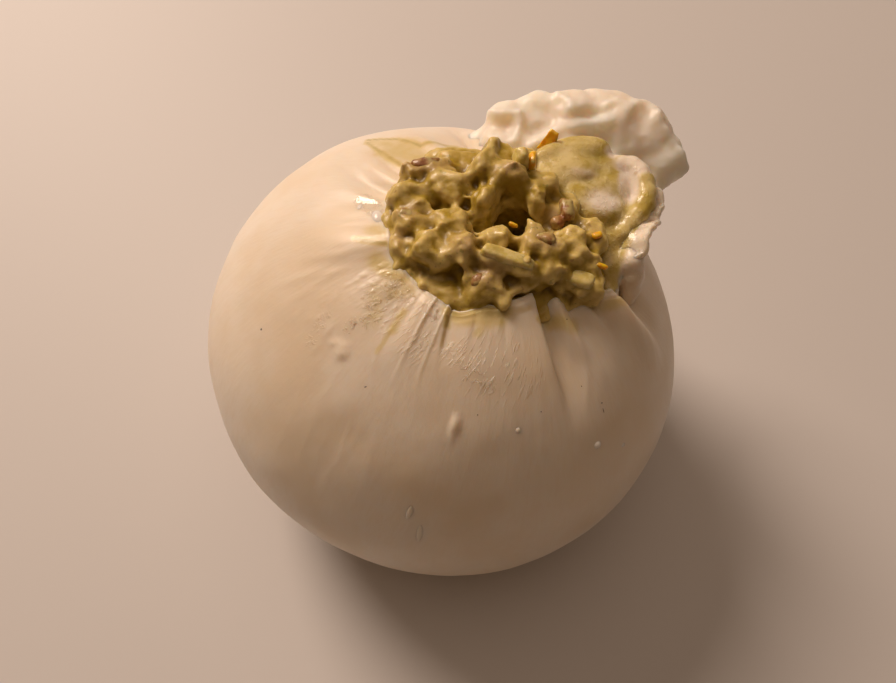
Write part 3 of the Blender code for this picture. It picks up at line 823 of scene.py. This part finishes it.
# The larger lumps of the heap, as (x, y, top, half sizes across, along and up, turn, squareness) in mm
HEAP_LUMPS = [
    (-7.6, 7.7, 73.6, 4.2, 2.2, 3, 10, 2.6),
    (-5.4, 12.3, 73.8, 4.6, 2.2, 3, 5, 2.4),
    (-1.3, 9, 74.8, 3.6, 2.6, 3.4, -25, 3),
    (4.7, 13.8, 76.2, 2.6, 4.8, 4.8, -28, 3.4),
    (10.2, 13.8, 75, 1.3, 2.4, 4.6, 0, 3.6),
    (8.2, 10.2, 76.6, 2.8, 2, 2.6, 0, 3.2),
    (5.4, 6.6, 75.2, 1.7, 4, 3.4, -26, 3),
    (13, 7.6, 74.4, 1.5, 3, 3.2, 24, 3),
    (14.6, 10.4, 74, 2.6, 2.2, 3.4, 0, 3),
    (-7.3, 5, 73.6, 2.8, 1.8, 3, 0, 2.6),
    (-7.4, 1.8, 73.4, 3, 1.9, 2.8, -5, 3.4),
    (-9.3, -1.6, 72.2, 1.8, 2.2, 2.6, 0, 2.6),
    (-0.9, 1.3, 74.6, 2.8, 2.2, 3, 15, 3),
    (-3.6, -3.9, 74, 3.8, 2.5, 3.6, -10, 3.2),
    (1.4, -3.9, 75, 2.3, 2.3, 3.6, 5, 4),
    (6.4, -1.4, 74.2, 2.4, 2, 2.8, 20, 2.6),
    (8.3, -5.8, 74.2, 4.6, 1.4, 1.7, -14, 3.8),
    (5.2, -8.3, 72.2, 3.4, 2.6, 3.2, 10, 2.8),
    (8.4, -10.5, 70.1, 0.3, 1.3, 0.8, 25, 2.4),
    (1.6, -10.6, 69.4, 4.6, 2.6, 2.2, -8, 2.4),
    (9.8, -7.4, 71, 3, 1.8, 2.2, 0, 2.6),
    (-3.4, 0.4, 71.6, 3, 3, 3, 0, 2.6),
    (3, 4, 71.6, 2.6, 2.6, 3, 0, 2.6),
    (2.7, 9.6, 73.4, 1.9, 1.8, 2.4, 10, 2.6),
    (-7.6, -1, 71, 2.6, 3, 3, 0, 2.6),
    (0.6, 6.6, 71.6, 3.6, 1.6, 3, 0, 2.6),
    (6.2, -9.8, 68.9, 3.2, 1.8, 2, 6, 2.4),
    (-5, -6.6, 69.6, 3, 2.4, 2.2, -40, 2.4),
    (13.9, -2.4, 74.6, 3.6, 2.2, 3.2, -8, 3.4),
    (15.2, -5.6, 73, 2.6, 1.8, 2.8, 20, 3),
    (12.6, 0.5, 74.8, 1.1, 1.1, 1.6, 0, 2),
    (19.2, 0.9, 73.2, 1.8, 1.6, 2.8, 0, 2.8),
    (19.8, -2, 72.8, 1.6, 2, 2.8, 0, 3),
    (22.4, -3.4, 71.2, 1.8, 2.2, 2.6, 0, 2.6),
    (20.9, -6, 70.6, 4, 2.3, 2.8, -20, 3),
    (23.4, 2.6, 71.4, 2.4, 3, 3, 0, 2.6),
    (-2.2, -8, 69.6, 5.4, 3, 3.2, -22, 2.4),
    (1, 15.8, 72, 4.6, 2.4, 2.8, 0, 2.4),
    (-8.4, -4.4, 70.2, 2.2, 2.6, 2.6, 0, 2.4),
    (17.6, 7.2, 71.6, 3.4, 4, 3, 0, 2.6),
    (10.6, 17.6, 71.6, 3.4, 2.6, 3, 0, 2.4),
    (-9, 9.6, 71, 3.4, 2.4, 2.6, 30, 2.4),
    (-6.4, 15, 70.6, 4.4, 2.2, 2.4, 25, 2.4),
    (-10.2, 3.6, 70.8, 2.2, 3.4, 2.6, 0, 2.4),
    (-10.4, -2.4, 69.8, 2, 3, 2.4, 0, 2.4),
    (0, 19, 69.8, 6, 2, 2.4, 5, 2.4),
    (11.6, 8.6, 73.4, 4.2, 1.6, 4.4, -8, 2.8),
    (2.6, 9.4, 71.4, 2.6, 3.2, 3, 0, 2.6),
    (14.6, 5.2, 71, 2, 2.4, 3, 0, 2.6),
    (17.4, 2.6, 71.2, 2.6, 3.4, 3.4, 0, 2.8),
]
GRANULES = 140
PIT = (9.8, 4, 3.2, 2.2)        # its middle and half sizes across and along, in mm
PIT_DEPTH = 0.0150
DOME_MIDDLE = (0.0075, 0.0035)  # the lumps' tops follow a low dome, and the core fills it from below
DOME_HALF = (0.019, 0.0165)
DOME_HEIGHT = 0.0735
DOME_FALL = 0.0045
CORE_MIDDLE = (0.0075, 0.004)
CORE_HALF = (0.0205, 0.018)
CORE_DEPTH = 0.012
CORE_DROP = 0.0026              # how far the core lies under the lumps' tops


def heap_top(x, y):
    """The level of the heap's core at a place, in metres: a low dome with a pit in it."""
    away = np.hypot((x - DOME_MIDDLE[0]) / DOME_HALF[0], (y - DOME_MIDDLE[1]) / DOME_HALF[1])
    dome = DOME_HEIGHT - DOME_FALL * away ** 2
    pit = np.exp(-((x * 1000 - PIT[0]) / PIT[2]) ** 4 - ((y * 1000 - PIT[1]) / PIT[3]) ** 4)
    return dome - PIT_DEPTH * pit - CORE_DROP


def body_ring(ring, phi):
    """The cream against the wall and up the inside of the lip, then over to the middle of the pit."""
    if ring <= INNER_RINGS:
        return (inside(INNER_RINGS - ring, phi, inset=GAP),)
    climb = min((ring - INNER_RINGS) / POOL_RINGS, 1.0) * around(phi, POOL_CLIMB)
    rim = collar(phi, climb, -1.0)
    share = 1.0 - max(ring - INNER_RINGS - POOL_RINGS, 0) / CAP_RINGS
    middle = rim.mean(axis=0)
    dip = CAP_DROP * smooth(0.0, 0.8, 1.0 - share)
    return (middle + (rim - middle) * max(share, 0.02) * 0.985 - AXIS * dip,)


body_mesh = spun_tube(INNER_RINGS + POOL_RINGS + CAP_RINGS + 1, CREAM_SEGMENTS)
place(body_mesh, body_ring)
close(body_mesh)
cream_inside = to_object(body_mesh, "cream_inside")

heap_mesh = bmesh.new()
core = bmesh.ops.create_icosphere(heap_mesh, subdivisions=6, radius=1.0)["verts"]
for vert in core:
    x, y = (middle + half * unit for middle, half, unit in zip(CORE_MIDDLE, CORE_HALF, vert.co))
    top = heap_top(x, y)
    vert.co = Vector((x, y, top if vert.co.z > 0 else top - CORE_DEPTH * abs(vert.co.z)))
for x, y, top, across, along, up, turn, squareness in HEAP_LUMPS:
    half = Vector((across, along, up)) * 0.001 + Vector((COAT, COAT, COAT))
    tilt = Euler((draw.uniform(-0.35, 0.35), draw.uniform(-0.35, 0.35), math.radians(turn)))
    spot = Vector((x, y, top - up)) * 0.001
    squarish(heap_mesh, spot, half, tilt, squareness + 0.8, 0.17, draw, 4)
for number in range(GRANULES):
    x, y, top, across, along, up, turn, squareness = HEAP_LUMPS[number % len(HEAP_LUMPS)]
    round_by, lift = draw.uniform(0, math.tau), draw.uniform(0.1, 1.0)
    level = math.sqrt(1.0 - lift * lift)
    spot = (x + across * level * math.cos(round_by), y + along * level * math.sin(round_by),
            top - up + up * lift)
    half = Vector([draw.uniform(0.3, 1.3) * 0.001 + COAT for _ in range(3)])
    spin = Euler([draw.uniform(0, math.tau) for _ in range(3)])
    squarish(heap_mesh, Vector(spot) * 0.001, half, spin, draw.uniform(2.6, 5.0), 0.12, draw, 2)
heap = melted(heap_mesh, "cream_heap", HEAP_VOXEL, 2, COAT)


def hollowness(thing, spread):
    """How far each vertex lies below the surface round it, over about the given number of edges."""
    mesh_data = bmesh.new()
    mesh_data.from_mesh(thing.data)
    for _ in range(spread):
        bmesh.ops.smooth_vert(mesh_data, verts=mesh_data.verts[:], factor=0.9,
                              use_axis_x=True, use_axis_y=True, use_axis_z=True)
    eased = np.array([vert.co[:] for vert in mesh_data.verts])
    mesh_data.free()
    return np.sum((eased - mesh_spots(thing.data)) * mesh_normals(thing.data), axis=1)


def write_mark(thing, name, values):
    layer = thing.data.attributes.new(name, "FLOAT", "POINT")
    layer.data.foreach_set("value", values)


# Where a nut lies just under the cream and colours it, as (x, y, half sizes, strength) in mm
NUTS_UNDER = [
    (-6.2, 12.6, 4.4, 1.8, 0.9),
    (-7.4, 2.4, 2.8, 1.6, 0.7),
    (1.5, -3.6, 2.2, 2, 0.8),
    (13.9, -2.2, 3.2, 1.8, 0.6),
    (5.4, -8, 3, 2, 0.8),
    (8.6, 10.2, 2.4, 1.6, 0.7),
    (-9.4, -1.4, 1.6, 1.8, 0.6),
    (16.4, 5.2, 1.8, 2.2, 0.5),
]
spots = mesh_spots(heap.data)
billows = np.abs(fbm(spots, 0.0034, 33, 2))
push_out(heap, 0.00035 * (billows - 0.3) + 0.00008 * fbm(spots, 0.0012, 32, 3))
# Hollow and nook: how sunk each place is; the cream darkens there, partly pooled oil and partly painted shade
for mark, spread, depth in (("hollow", 26, 0.0006), ("nook", 5, 0.00012)):
    write_mark(heap, mark, np.clip(hollowness(heap, spread) / depth, -1.5, 1.5))
write_mark(heap, "nut", blots(spots, NUTS_UNDER) * smooth(0.0690, 0.0715, spots[:, 2]))
# Low: how deep the cream lies in the pit and inside the bag; the cream goes near black there as painted shade
for piece, full in ((heap, 0.0715), (cream_inside, 0.0650)):
    spots = mesh_spots(piece.data)
    away = np.hypot(spots[:, 0] - PIT[0] * 0.001, spots[:, 1] - PIT[1] * 0.001)
    write_mark(piece, "low", 1.0 - smooth(0.0590, full, spots[:, 2] + 0.5 * away))

PALE_CREAM = (0.68, 0.52, 0.18, 1.0)
OLIVE_CREAM = (0.42, 0.285, 0.026, 1.0)
# Olive of oil pooled in the hollows, which also stands in as painted shade there
OIL_AND_SHADE_OLIVE = (0.17, 0.098, 0.002, 1.0)
# Painted shade: near black, for the cream deep in the pit and inside the bag
PAINTED_PIT_SHADE = (0.040, 0.018, 0.0005, 1.0)
NUT_TINT = (0.46, 0.295, 0.155, 1.0)
GREEN_CRUMB = (0.22, 0.21, 0.03, 1.0)
BROWN_CRUMB = (0.30, 0.14, 0.05, 1.0)


def cream_material():
    """Pistachio cream, pale where it stands proud; oily olive and painted shade in hollows, painted shade in
    the pit.
    """
    made, start = finish("pistachio_cream", {
        "Subsurface Weight": 0.6, "Subsurface Radius": (1.0, 0.78, 0.25), "Subsurface Scale": 0.0009,
        "IOR": 1.45, "Coat Roughness": 0.14, "Specular IOR Level": 0.5})
    spots = start.node("TexCoord", {}, {}, output="Object")
    drift = start.noise(spots, 0.0055, 4.0, 0.6, 0.5)
    hollow = start.mark("hollow")
    nook = start.mark("nook")
    # Hollows lean towards olive: partly oil, partly painted shade
    colour = (drift + 0.20 * hollow + 0.05 * nook).step(0.31, 0.64).mix(PALE_CREAM, OLIVE_CREAM)
    tint = start.mark("nut") * start.noise(spots, 0.0026, 3.0, 0.6).step(0.32, 0.52)
    colour = (0.90 * tint).mix(colour, NUT_TINT)
    # Painted shade together with pooled oil: the hollows darken to deep olive
    colour = (hollow + 0.3 * nook).step(0.10, 1.15).mix(colour, OIL_AND_SHADE_OLIVE)
    crumbs = start.noise(spots, 0.0012, 2.0, 0.5)
    colour = (0.45 * crumbs.step(0.67, 0.72)).mix(colour, GREEN_CRUMB)
    colour = (0.45 * (1.0 - crumbs.step(0.27, 0.31))).mix(colour, BROWN_CRUMB)
    # Painted shade: the cream low in the pit and inside the bag goes near black
    colour = start.mark("low").step(0.25, 0.80).mix(colour, PAINTED_PIT_SHADE)
    shine = start.noise(spots, 0.0030, 3.0, 0.6)
    rough = 0.30 + 0.26 * shine
    height = start.noise(spots, 0.0008, 3.0, 0.55)
    bump = start.node("Bump", {}, {"Strength": 0.6, "Distance": 0.00012, "Height": height})
    feed(made, {"Base Color": colour, "Roughness": rough, "Normal": bump,
                "Coat Weight": 0.05 + 0.5 * shine.step(0.5, 0.7)})
    return made


pistachio_cream = cream_material()
dress(cream_inside, pistachio_cream, "filling")
dress(heap, pistachio_cream, "filling")


# ---------------------------------------------------------------------------------------------------------
# What is stirred into the cream or lies against it: a torn lobe of curd smeared with cream at the back
# right, paler shreds of curd, broken nuts with their brown skins, and slivers of orange peel.

# The lobe, as (x, y, top, half sizes, turn) in mm, and the roll at the ear's edge, as (x, y, top, radius)
LOBE_LUMPS = [
    (16.4, 19.4, 71.8, 4.4, 2.4, 2.6, 32),
    (21.4, 20.4, 72.2, 6, 3.2, 2.6, 8),
    (19, 16.4, 71.8, 6.4, 4.4, 2.8, 10),
    (15.6, 13.6, 71.4, 4, 4.6, 2.8, -20),
    (25.4, 17.6, 71, 4.4, 4.2, 2.4, 20),
    (25, 13, 70.8, 5, 4.4, 2.4, 20),
    (24.6, 9.2, 70.7, 4.8, 3.6, 2.6, 0),
    (21, 10.6, 70.8, 4.4, 3.6, 2.4, 0),
    (28.4, 11, 69, 4.4, 5.6, 2.2, 0),
    (29, 15.6, 69.8, 4, 3.6, 2.2, 0),
    (26.6, 6, 68.6, 3.4, 4.2, 2.4, 0),
    (27, 1, 67, 2.6, 4.2, 2.4, 0),
    (27, -2.6, 65.2, 1.8, 3, 2.4, 0),
    (30.4, 0.4, 68.6, 2.2, 2.6, 2.4, 0),
    (30.9, -1.2, 66.4, 2.1, 2.2, 2.6, 0),
    (31.3, -2.2, 64, 1.9, 1.9, 2.8, 0),
    (31.5, -2.8, 61.8, 1.5, 1.7, 2.6, 0),
]
EAR_ROLL = [
    (29, 18.6, 70.9, 2), (30.8, 18.2, 71.2, 2.2), (32.2, 16.8, 71.3, 2.3), (32.9, 14.8, 71.3, 2.3),
    (33, 12.6, 71.1, 2.2), (32.6, 10.4, 70.9, 2.1), (31.6, 8.4, 70.6, 2), (30.2, 6.6, 70.1, 1.9),
    (28.8, 4.8, 69.4, 1.8),
]
# Shreds of curd and broken nuts that stand clear of the coat, as (x, y, top, half sizes, turn, squareness)
SHREDS = [
    (8.4, -5.6, 75, 4.4, 1.3, 1.4, -14, 4.2),
    (10.4, 13.6, 77, 1.5, 1.7, 4.2, 8, 3.2),
    (20.2, -6.2, 71, 2.8, 1.5, 1.5, -18, 4),
]
NUTS = [
    (-5.6, 13, 74.2, 2.8, 1.2, 1.3, 8, 3),
    (18.4, 5.6, 73.6, 1.2, 2, 1.5, 10, 3.2),
    (16.8, 3.2, 72.9, 1, 1.1, 1.2, 40, 3),
    (5, -8.4, 72.5, 2.2, 1.3, 1.3, 10, 3.2),
    (-8.2, 2.4, 73.7, 1.6, 1, 1.2, -6, 3),
    (14.2, -1.6, 74.9, 1.9, 1.1, 1.2, -12, 3.2),
]
# Orange peel: one torn sliver that stands up behind the lobe, as its corners, and soft bits sunk in the
# cream, as (x, y, top, half sizes, turn, squareness) in mm
SLIVER = [(13.6, 20.4, 70.2), (17, 20.4, 71.2), (17.3, 21.6, 72.9), (15.9, 22.3, 73.2)]
PEELS = [
    (12.4, 14.2, 75.2, 0.7, 2, 2.2, -4, 3.2),
    (23.4, 1.4, 71.9, 0.9, 0.6, 0.5, 20, 3.4),
    (24, -4.2, 71.3, 1.1, 0.45, 0.5, -12, 3.6),
    (9.4, 1.8, 73, 0.9, 0.3, 0.5, -25, 3.4),
    (3, 6, 72.6, 0.8, 0.5, 0.5, 30, 3.4),
]
PEEL_THICKNESS = 0.00045


def joined(name, lumps, roughness, voxel, smoothing):
    """Separate lumps as one piece, each as (x, y, top, half sizes, turn, squareness) in mm."""
    mesh_data = bmesh.new()
    for x, y, top, across, along, up, turn, squareness in lumps:
        tilt = Euler((draw.uniform(-0.2, 0.2), draw.uniform(-0.2, 0.2), math.radians(turn)))
        spot = Vector((x, y, top - up)) * 0.001
        squarish(mesh_data, spot, Vector((across, along, up)) * 0.001, tilt, squareness, roughness, draw, 4)
    return melted(mesh_data, name, voxel, smoothing)


lobe_lumps = [(*lump, 2.2) for lump in LOBE_LUMPS]
lobe_lumps += [(x, y, top, radius, radius, radius, 0, 2.0) for x, y, top, radius in EAR_ROLL]
lobe = joined("torn_lobe", lobe_lumps, 0.04, 0.0004, 12)
spots = mesh_spots(lobe.data)
push_out(lobe, 0.00024 * fbm(spots * (1.0, 1.6, 1.0), 0.0060, 41, 3))
write_mark(lobe, "smear", 0.95 - blots(spots, BARE))
write_mark(lobe, "wet", 0.35 + 0.65 * blots(spots, [(*WET_EAR, 1.0)]))
dress(lobe, stretched_curd, "pouch")

shreds = joined("curd_shreds", SHREDS, 0.12, 0.00028, 3)
nuts = joined("broken_nuts", NUTS, 0.16, 0.00028, 2)
push_out(nuts, 0.00012 * fbm(mesh_spots(nuts.data), 0.0012, 42, 3))

peel = joined("orange_peel", PEELS, 0.12, 0.00025, 2)
sliver_mesh = bmesh.new()
corners = [sliver_mesh.verts.new(Vector(corner) * 0.001) for corner in SLIVER]
sliver_mesh.faces.new(corners)
bmesh.ops.subdivide_edges(sliver_mesh, edges=sliver_mesh.edges[:], cuts=5, use_grid_fill=True)
bmesh.ops.solidify(sliver_mesh, geom=sliver_mesh.faces[:], thickness=PEEL_THICKNESS)
sliver = to_object(sliver_mesh, "peel_sliver")
push_out(sliver, 0.00018 * fbm(mesh_spots(sliver.data), 0.0014, 43, 2))


def stirred_material(name, skin_colour, flesh_colour, coat_colour, coat_share, constants):
    """A nut, shred or peel: its own two colours, under a patchy coat of cream."""
    made, start = finish(name, {"IOR": 1.46, "Coat Roughness": 0.12, **constants})
    spots = start.node("TexCoord", {}, {}, output="Object")
    colour = start.noise(spots, 0.0014, 3.0, 0.6).step(0.42, 0.62).mix(skin_colour, flesh_colour)
    coat = start.noise(spots, 0.0024, 3.0, 0.6).step(0.62 - 0.4 * coat_share, 0.80 - 0.4 * coat_share)
    colour = coat.mix(colour, coat_colour)
    height = start.noise(spots, 0.0007, 3.0, 0.6)
    bump = start.node("Bump", {}, {"Strength": 0.5, "Distance": 0.00012, "Height": height})
    feed(made, {"Base Color": colour, "Normal": bump, "Roughness": 0.30 + 0.25 * height})
    return made


dress(shreds, stirred_material("pale_shred", (0.72, 0.60, 0.25, 1.0), (0.62, 0.49, 0.13, 1.0),
                               (0.52, 0.41, 0.11, 1.0), 0.25,
                               {"Subsurface Weight": 0.8, "Subsurface Radius": (1.0, 0.8, 0.4),
                                "Subsurface Scale": 0.0012, "Coat Weight": 0.3}), "filling")
dress(nuts, stirred_material("nut", (0.26, 0.088, 0.018, 1.0), (0.44, 0.25, 0.085, 1.0),
                             (0.52, 0.41, 0.15, 1.0), 0.45, {"Coat Weight": 0.3}), "filling")
peel_finish = stirred_material("candied_peel", (0.92, 0.55, 0.014, 1.0), (0.80, 0.39, 0.005, 1.0),
                               (0.62, 0.46, 0.10, 1.0), 0.25,
                               {"Subsurface Weight": 0.7, "Subsurface Radius": (1.0, 0.5, 0.06),
                                "Subsurface Scale": 0.0010, "Coat Weight": 0.6})
dress(peel, peel_finish, "filling")
dress(sliver, peel_finish, "filling")


# ---------------------------------------------------------------------------------------------------------
# What lies on the outside of the bag: milky drops of whey, small blobs of curd, and a few dark specks.

# Each as (theta, phi, half sizes along the way round, down the side and out, turn in degrees) in mm
CURD_BLOBS = [
    (50.5, -78.8, 0.5, 0.52, 0.22, 0),
    (73, -100, 0.5, 1.6, 0.16, 0),
    (78, -96.5, 0.5, 2.2, 0.16, 8),
]
DROPS = [
    (58, -56, 0.85, 0.8, 0.75, 0),
    (61.6, -48, 0.5, 0.45, 0.35, 0),
    (28.8, -176, 1.9, 1.2, 0.75, 15),
    (33.5, 176.5, 1, 0.6, 0.45, 0),
]
SPECKS = [
    (47.8, -90.5, 0.1, 0.1, 0.06, 0),
    (47, -72, 0.1, 0.1, 0.06, 0),
    (44.5, -56.5, 0.08, 0.11, 0.06, 0),
    (49.5, -52, 0.13, 0.12, 0.06, 0),
    (51.2, -52.2, 0.07, 0.45, 0.05, 0),
    (29.5, -53.5, 0.14, 0.1, 0.06, 0),
    (51.6, -122, 0.24, 0.08, 0.05, 50),
    (62.5, -154.8, 0.18, 0.18, 0.1, 0),
]


def on_skin(name, blobs, sink, softness=1.0):
    """Small flat blobs that follow the skin, each sunk in by a share of its thickness.

    Above 1, softness lets their tops run out evenly into the skin.
    """
    mesh_data = bmesh.new()
    for theta, phi, across, down, out, turn in blobs:
        ball = bmesh.ops.create_icosphere(mesh_data, subdivisions=4, radius=1.0)["verts"]
        unit = np.array([vert.co[:] for vert in ball])
        spin = math.radians(turn)
        beside = unit[:, 0] * across * math.cos(spin) - unit[:, 1] * down * math.sin(spin)
        above = unit[:, 0] * across * math.sin(spin) + unit[:, 1] * down * math.cos(spin)
        thetas = theta - above / MM_PER_DEGREE
        phis = phi + beside / (MM_PER_DEGREE * math.sin(math.radians(theta)))
        rise = np.where(unit[:, 2] > 0, np.abs(unit[:, 2]) ** softness, unit[:, 2]) - sink
        spots = uneven(thetas, phis) + direction(thetas, phis) * (rise * out * 0.001)[:, None]
        for vert, spot in zip(ball, spots):
            vert.co = spot
    return to_object(mesh_data, name)


blobs = on_skin("curd_blobs", CURD_BLOBS, 0.12, 1.6)
dress(blobs, curd_material("loose_curd", WHITE_CURD, SOAKED_CURD, 0.0003), "pouch")

drops = on_skin("whey_drops", DROPS, 0.55)
whey, _ = finish("whey", {"Base Color": (0.96, 0.91, 0.84, 1.0), "Roughness": 0.05, "IOR": 1.34,
                          "Transmission Weight": 0.15, "Subsurface Weight": 0.0})
dress(drops, whey, "pouch")

specks = on_skin("dark_specks", SPECKS, 0.3)
pepper, _ = finish("speck", {"Base Color": (0.12, 0.08, 0.055, 1.0), "Roughness": 0.5})
dress(specks, pepper, "pouch")


# ---------------------------------------------------------------------------------------------------------
# The table and the light: a plain pale floor, one large warm lamp from the back left, and a weak warm fill.

FLOOR_SIZE = 1.2
floor_mesh = bmesh.new()
bmesh.ops.create_grid(floor_mesh, x_segments=1, y_segments=1, size=FLOOR_SIZE / 2)
floor = to_object(floor_mesh, "floor")
floor_finish, _ = finish("plain_floor", {"Base Color": (0.66, 0.63, 0.61, 1.0), "Roughness": 0.6})
floor.data.materials.append(floor_finish)


def area_lamp(name, spot, aim, size, power, colour):
    lamp = bpy.data.lights.new(name, "AREA")
    lamp.shape = "DISK"
    lamp.size = size
    lamp.energy = power
    lamp.color = colour
    thing = bpy.data.objects.new(name, lamp)
    thing.location = spot
    thing.rotation_euler = (Vector(aim) - Vector(spot)).to_track_quat("-Z", "Y").to_euler()
    bpy.context.scene.collection.objects.link(thing)


area_lamp("key", (-0.66, 0.76, 0.87), (0.0, 0.0, 0.03), 0.60, 16.0, (1.0, 0.80, 0.66))
area_lamp("ceiling", (0.0, 0.15, 0.90), (0.0, 0.0, 0.03), 0.90, 1.6, (1.0, 0.76, 0.58))
world = bpy.data.worlds.new("soft_room")
world.use_nodes = True
world.node_tree.nodes["Background"].inputs["Color"].default_value = (1.0, 0.62, 0.38, 1.0)
world.node_tree.nodes["Background"].inputs["Strength"].default_value = 0.08
bpy.context.scene.world = world
bpy.context.scene.view_settings.view_transform = "Standard"

CAMERA_SPOT = (-0.0003, -0.0621, 0.160)
CAMERA_TILT = math.radians(90.0 - 64.3)
CAMERA_ROLL = math.radians(3.0)
IMAGE_WIDTH = 896
FOCAL_PIXELS = 650
lens = bpy.data.cameras.new("camera")
lens.sensor_width = 36.0
lens.lens = FOCAL_PIXELS / IMAGE_WIDTH * lens.sensor_width
lens.clip_start = 0.005
camera = bpy.data.objects.new("camera", lens)
camera.location = CAMERA_SPOT
camera.rotation_mode = "ZYX"
camera.rotation_euler = (CAMERA_TILT, 0.0, CAMERA_ROLL)
bpy.context.scene.collection.objects.link(camera)
bpy.context.scene.camera = camera
